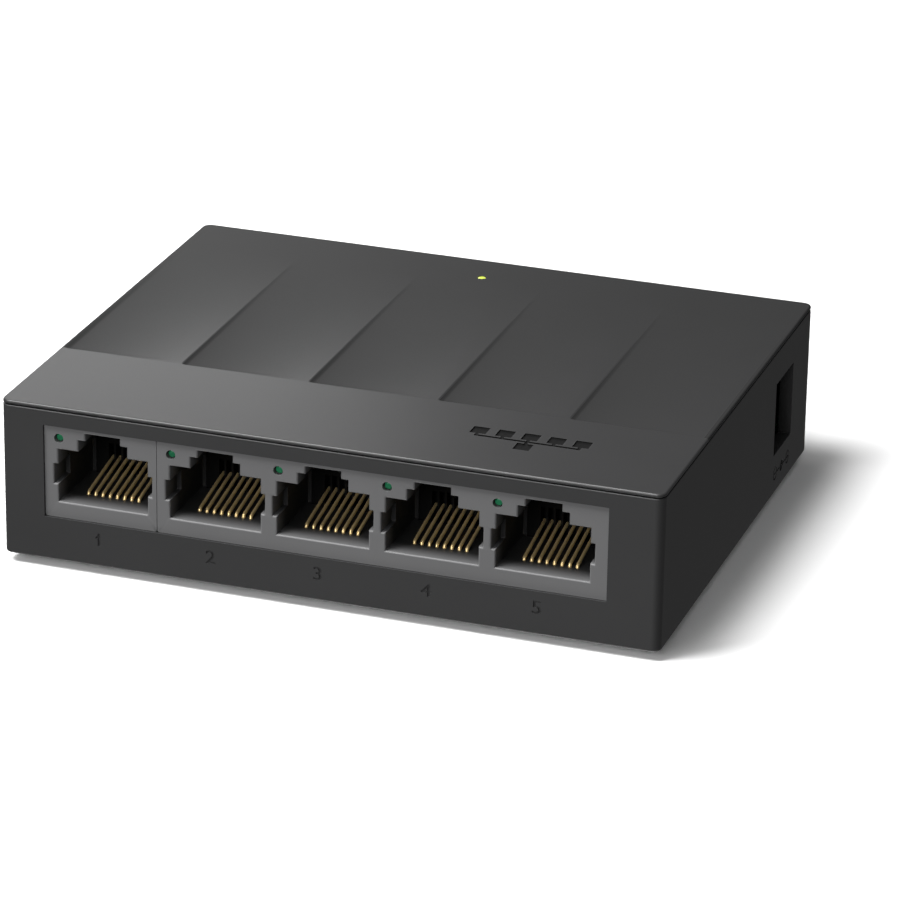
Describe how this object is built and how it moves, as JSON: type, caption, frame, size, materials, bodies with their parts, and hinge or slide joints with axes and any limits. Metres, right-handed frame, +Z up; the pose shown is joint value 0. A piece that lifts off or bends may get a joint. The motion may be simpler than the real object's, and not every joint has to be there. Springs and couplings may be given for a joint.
{
  "type": "desktop network switch",
  "caption": "Low rectangular plastic desktop network switch: modular jacks along the front, faceted flat cover, DC inlet at the side near the rear, rubber feet.",
  "frame": {"origin": "on the table, under the middle of the case", "axes": "+Z up, -Y out of the jacks, +X towards the side with the DC inlet"},
  "size_m": [0.09, 0.0724, 0.023],
  "materials": {
    "case_plastic": "satin dark grey moulded ABS with a fine spark texture",
    "jack_plastic": "lighter grey glass-filled polyester, fine mould texture",
    "carrier_plastic": "black glass-filled polyester",
    "contact_gold": "gold flash over phosphor bronze, bright",
    "tail_tin": "tin plated, dull bright",
    "port_light_green": "green-tinted clear light pipe, polished end",
    "power_light_clear": "clear light pipe over a yellow-green lamp",
    "lamp_white": "white lamp body with a clear face",
    "foot_rubber": "soft black rubber, matt",
    "screw_steel": "black zinc plated steel",
    "board_green": "green solder mask over glass-epoxy board, satin",
    "chip_black": "black moulding compound, matt",
    "can_metal": "drawn can, bright satin",
    "pin_nickel": "nickel plated, smooth",
    "inlet_plastic": "black moulded nylon",
    "ceramic_tan": "tan ceramic body with tinned ends",
    "label_film": "plain silver film, satin, no print"
  },
  "bodies": {
    "switch_case": {"base": "case_plastic", "top_cover": "case_plastic", "front_left_foot": "foot_rubber", "front_right_foot": "foot_rubber", "rear_left_foot": "foot_rubber", "rear_right_foot": "foot_rubber", "rating_label": "label_film", "case_screws": "screw_steel", "main_board": "board_green", "jack_housing_single": "jack_plastic", "jack_housing_gang": "jack_plastic", "port_1_tails": "tail_tin", "port_1_contact_carrier": "carrier_plastic", "port_1_light_pipe": "port_light_green", "port_1_line_module": "chip_black", "port_2_tails": "tail_tin", "port_2_contact_carrier": "carrier_plastic", "port_2_light_pipe": "port_light_green", "port_2_line_module": "chip_black", "port_3_tails": "tail_tin", "port_3_contact_carrier": "carrier_plastic", "port_3_light_pipe": "port_light_green", "port_3_line_module": "chip_black", "port_4_tails": "tail_tin", "port_4_contact_carrier": "carrier_plastic", "port_4_light_pipe": "port_light_green", "port_4_line_module": "chip_black", "port_5_tails": "tail_tin", "port_5_contact_carrier": "carrier_plastic", "port_5_light_pipe": "port_light_green", "port_5_line_module": "chip_black", "port_lamps": "lamp_white", "power_lamp": "lamp_white", "power_light_pipe": "power_light_clear", "inlet_body": "inlet_plastic", "inlet_pin": "pin_nickel", "inlet_terminals": "tail_tin", "switch_chip": "chip_black", "crystal": "can_metal", "can_capacitors": "can_metal", "inductor": "chip_black", "regulator": "chip_black", "chip_capacitors": "ceramic_tan", "chip_resistors": "chip_black"},
    "contacts_1": {"port_1_contacts": "contact_gold"},
    "contacts_2": {"port_2_contacts": "contact_gold"},
    "contacts_3": {"port_3_contacts": "contact_gold"},
    "contacts_4": {"port_4_contacts": "contact_gold"},
    "contacts_5": {"port_5_contacts": "contact_gold"},
    "inlet_spring": {"inlet_leaf": "pin_nickel"}
  },
  "joints": [
    {"name": "port_1_contact_flex", "type": "hinge", "parent": "switch_case", "child": "contacts_1", "pos_m": [-0.03085, -0.03185, 0.0095], "axis": [-1, 0, 0], "range_deg": [0, 7], "stiffness_Nm_per_rad": 0.05},
    {"name": "port_2_contact_flex", "type": "hinge", "parent": "switch_case", "child": "contacts_2", "pos_m": [-0.0152, -0.03185, 0.0095], "axis": [-1, 0, 0], "range_deg": [0, 7], "stiffness_Nm_per_rad": 0.05},
    {"name": "port_3_contact_flex", "type": "hinge", "parent": "switch_case", "child": "contacts_3", "pos_m": [-0.0004, -0.03185, 0.0095], "axis": [-1, 0, 0], "range_deg": [0, 7], "stiffness_Nm_per_rad": 0.05},
    {"name": "port_4_contact_flex", "type": "hinge", "parent": "switch_case", "child": "contacts_4", "pos_m": [0.0144, -0.03185, 0.0095], "axis": [-1, 0, 0], "range_deg": [0, 7], "stiffness_Nm_per_rad": 0.05},
    {"name": "port_5_contact_flex", "type": "hinge", "parent": "switch_case", "child": "contacts_5", "pos_m": [0.0292, -0.03185, 0.0095], "axis": [-1, 0, 0], "range_deg": [0, 7], "stiffness_Nm_per_rad": 0.05},
    {"name": "inlet_leaf_flex", "type": "hinge", "parent": "switch_case", "child": "inlet_spring", "pos_m": [0.0334, 0.0224, 0.00915], "axis": [0, 1, 0], "range_deg": [0, 6], "stiffness_Nm_per_rad": 0.03}
  ]
}
